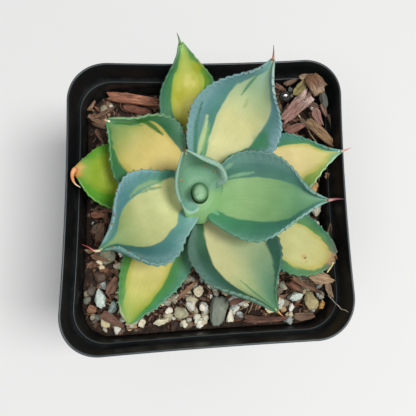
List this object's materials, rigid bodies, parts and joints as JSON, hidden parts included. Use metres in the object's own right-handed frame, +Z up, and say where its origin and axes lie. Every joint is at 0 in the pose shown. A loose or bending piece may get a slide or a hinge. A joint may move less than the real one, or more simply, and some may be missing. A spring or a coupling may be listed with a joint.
{
  "type": "potted agave",
  "caption": "Compact variegated agave rosette with spine-tipped, toothed leaves in gritty bark and pumice soil in a square black nursery pot.",
  "frame": {"origin": "centre of the pot's flat base, on the surface that it stands on", "axes": "+Z up out of the pot; -Y is the pot's front, nearest the picture's lower edge; +X is to the right in the picture"},
  "size_m": [0.0885, 0.0939, 0.101],
  "materials": {
    "pot_plastic": "black injection-moulded plastic, slightly satin, pale scuffed edges",
    "soil_mix": "damp brown bark and peat mix, rough; leather stands in for soil",
    "stem_tissue": "fleshy green-white stem; rubber stands in for plant tissue",
    "leaf_variegated": "succulent leaf, cream-yellow centre with blue-green margins, waxy; rubber stands in for plant tissue",
    "leaf_glaucous": "succulent leaf, glaucous blue-green, waxy; rubber stands in for plant tissue",
    "bark_wood": "dry bark, twig and fibre, rough",
    "pumice_pale": "pale porous pumice and perlite, rough; leather stands in for light stone",
    "stone_grit": "small grit stones, rough; leather stands in for stone"
  },
  "bodies": {
    "root": {"bark_bottom": "bark_wood", "bark_bottom_right": "bark_wood", "bark_curl_right": "bark_wood", "bark_lower_left": "bark_wood", "bark_red_right": "bark_wood", "bark_shard_right": "bark_wood", "bark_strip_back": "bark_wood", "bark_strip_second": "bark_wood", "bud": "leaf_glaucous", "leaf_bottom": "leaf_variegated", "leaf_chip": "bark_wood", "leaf_inner_cup": "leaf_glaucous", "leaf_left_outer": "leaf_variegated", "leaf_lower_left": "leaf_variegated", "leaf_lower_right": "leaf_variegated", "leaf_right": "leaf_variegated", "leaf_right_lower": "leaf_variegated", "leaf_right_outer": "leaf_variegated", "leaf_top": "leaf_variegated", "leaf_upper_left": "leaf_variegated", "leaf_upper_right": "leaf_variegated", "pebble_dark_left": "stone_grit", "pebble_glossy": "stone_grit", "pebble_green_bottom": "stone_grit", "perlite_left": "pumice_pale", "pot": "pot_plastic", "pumice_blue_bottom": "pumice_pale", "pumice_blue_left": "pumice_pale", "pumice_cream_a": "pumice_pale", "pumice_cream_b": "pumice_pale", "pumice_cream_c": "pumice_pale", "pumice_cream_corner": "pumice_pale", "pumice_cream_mid": "pumice_pale", "pumice_white_bottom": "pumice_pale", "pumice_white_left": "pumice_pale", "pumice_white_right": "pumice_pale", "rock_cream_bottom": "stone_grit", "root_fibre": "bark_wood", "soil": "soil_mix", "stem": "stem_tissue", "stone_brown_bottom": "stone_grit", "stone_brown_left": "stone_grit", "stone_flat_right": "stone_grit", "stone_orange_corner": "stone_grit", "stone_round_left": "stone_grit", "stone_tan_right": "stone_grit", "stone_wedge": "stone_grit", "twig": "bark_wood"}
  },
  "joints": []
}
